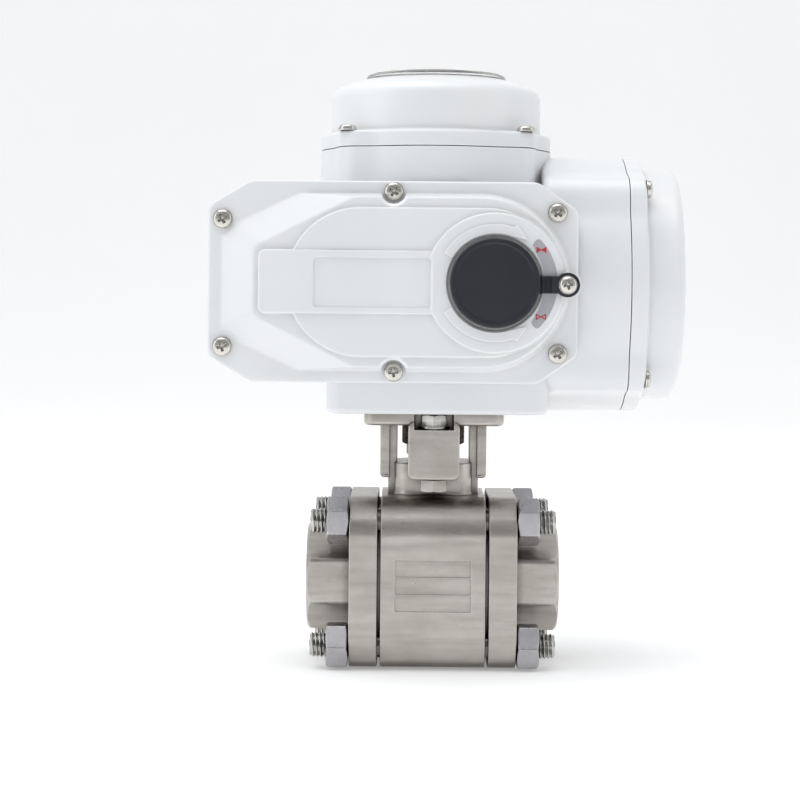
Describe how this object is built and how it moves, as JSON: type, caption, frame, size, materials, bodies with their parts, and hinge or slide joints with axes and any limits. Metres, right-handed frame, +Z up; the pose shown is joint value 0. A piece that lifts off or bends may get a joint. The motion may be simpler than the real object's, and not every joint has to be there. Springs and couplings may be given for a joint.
{
  "type": "electric quarter-turn valve actuator on a ball valve",
  "caption": "White cast electric quarter-turn actuator with dome position indicator and manual override port, mounted on a stainless three-piece threaded ball valve.",
  "frame": {"origin": "on the stem axis, in the plane of the valve's flat underside", "axes": "+X along the pipe towards the terminal cover, -Y towards the front cover with the manual override port, +Z up the stem towards the indicator dome"},
  "size_m": [0.1458, 0.1178, 0.19],
  "materials": {
    "white_paint": "satin",
    "cast_stainless": "matte",
    "bright_steel": "satin",
    "black_steel": "satin",
    "bronze": "satin",
    "seal_white": "satin",
    "black_rubber": "satin",
    "clear_window": "gloss",
    "yellow_plastic": "satin",
    "black_plastic": "satin",
    "capacitor_can": "satin"
  },
  "bodies": {
    "housing": {"gear_housing": "white_paint", "front_cover": "white_paint", "indicator_cover": "white_paint", "terminal_cover": "white_paint", "valve_body": "cast_stainless", "end_cap_left": "cast_stainless", "end_cap_right": "cast_stainless", "body_stud_1": "bright_steel", "body_stud_2": "bright_steel", "body_stud_3": "bright_steel", "body_stud_4": "bright_steel", "packing_gland": "bright_steel", "stop_bolt": "bright_steel", "stop_nut": "bright_steel", "tether_screw": "bright_steel", "travel_stop_screw_1": "bright_steel", "travel_stop_screw_2": "bright_steel", "gear_plate": "bright_steel", "switch_plate": "bright_steel", "mounting_screw_1": "black_steel", "mounting_screw_2": "black_steel", "mounting_screw_3": "black_steel", "mounting_screw_4": "black_steel", "motor_body": "black_steel", "worm_bearing_front": "bronze", "worm_bearing_rear": "bronze", "output_bushing": "bronze", "seat_ring_left": "seal_white", "seat_ring_right": "seal_white", "body_seal_left": "seal_white", "body_seal_right": "seal_white", "stem_packing": "seal_white", "cap_tether": "black_rubber", "indicator_window": "clear_window", "open_limit_switch": "black_plastic", "close_limit_switch": "black_plastic", "terminal_block": "black_plastic", "cable_gland_1": "black_plastic", "cable_gland_2": "black_plastic", "gland_nut_1": "black_plastic", "gland_nut_2": "black_plastic", "motor_capacitor": "capacitor_can"},
    "motor_rotor": {"motor_rotor": "bright_steel"},
    "gear_1": {"reduction_gear_1": "bright_steel"},
    "gear_2": {"reduction_gear_2": "bright_steel"},
    "worm": {"worm_spur_gear": "bright_steel", "worm_shaft": "bright_steel"},
    "output": {"output_shaft": "black_steel", "worm_wheel": "bronze", "open_cam": "yellow_plastic", "close_cam": "yellow_plastic", "indicator_dial": "yellow_plastic", "valve_stem": "bright_steel", "stem_nut": "bright_steel", "disc_spring": "bright_steel", "ball": "bright_steel"},
    "open_plunger": {"open_switch_plunger": "seal_white"},
    "close_plunger": {"close_switch_plunger": "seal_white"},
    "port_cap": {"manual_port_cap": "black_rubber"}
  },
  "joints": [
    {"name": "motor_spin", "type": "hinge", "parent": "housing", "child": "motor_rotor", "pos_m": [-0.0391, 0, 0.1213], "axis": [0, 1, 0], "range_deg": [0, 49280.4]},
    {"name": "gear_1_spin", "type": "hinge", "parent": "housing", "child": "gear_1", "pos_m": [-0.0191, 0, 0.1213], "axis": [0, 1, 0], "range_deg": [-16426.8, 0]},
    {"name": "gear_2_spin", "type": "hinge", "parent": "housing", "child": "gear_2", "pos_m": [-0.0011, 0, 0.1213], "axis": [0, 1, 0], "range_deg": [0, 6318]},
    {"name": "worm_spin", "type": "hinge", "parent": "housing", "child": "worm", "pos_m": [0.0174, 0, 0.1213], "axis": [0, 1, 0], "range_deg": [-2340, 0]},
    {"name": "output_turn", "type": "hinge", "parent": "housing", "child": "output", "pos_m": [0, 0, 0.1213], "axis": [0, 0, 1], "range_deg": [-90, 0]},
    {"name": "open_plunger_slide", "type": "slide", "parent": "housing", "child": "open_plunger", "axis": [1, 0, 0], "range_m": [0, 0.0012]},
    {"name": "close_plunger_slide", "type": "slide", "parent": "housing", "child": "close_plunger", "axis": [-1, 0, 0], "range_m": [0, 0.0012]},
    {"name": "port_cap_hinge", "type": "hinge", "parent": "housing", "child": "port_cap", "pos_m": [0.0325, -0.0562, 0.1213], "axis": [0, 0, 1], "range_deg": [0, 120]}
  ],
  "couplings": [
    {"joint": "gear_1_spin", "follows": "motor_spin", "ratio": -0.33333},
    {"joint": "gear_2_spin", "follows": "motor_spin", "ratio": 0.12821},
    {"joint": "worm_spin", "follows": "motor_spin", "ratio": -0.047483},
    {"joint": "output_turn", "follows": "motor_spin", "ratio": -0.0018263},
    {"joint": "open_plunger_slide", "follows": "motor_spin", "m_per_rad": 0.0000013952},
    {"joint": "close_plunger_slide", "follows": "motor_spin", "m_per_rad": 0.0000013952}
  ]
}
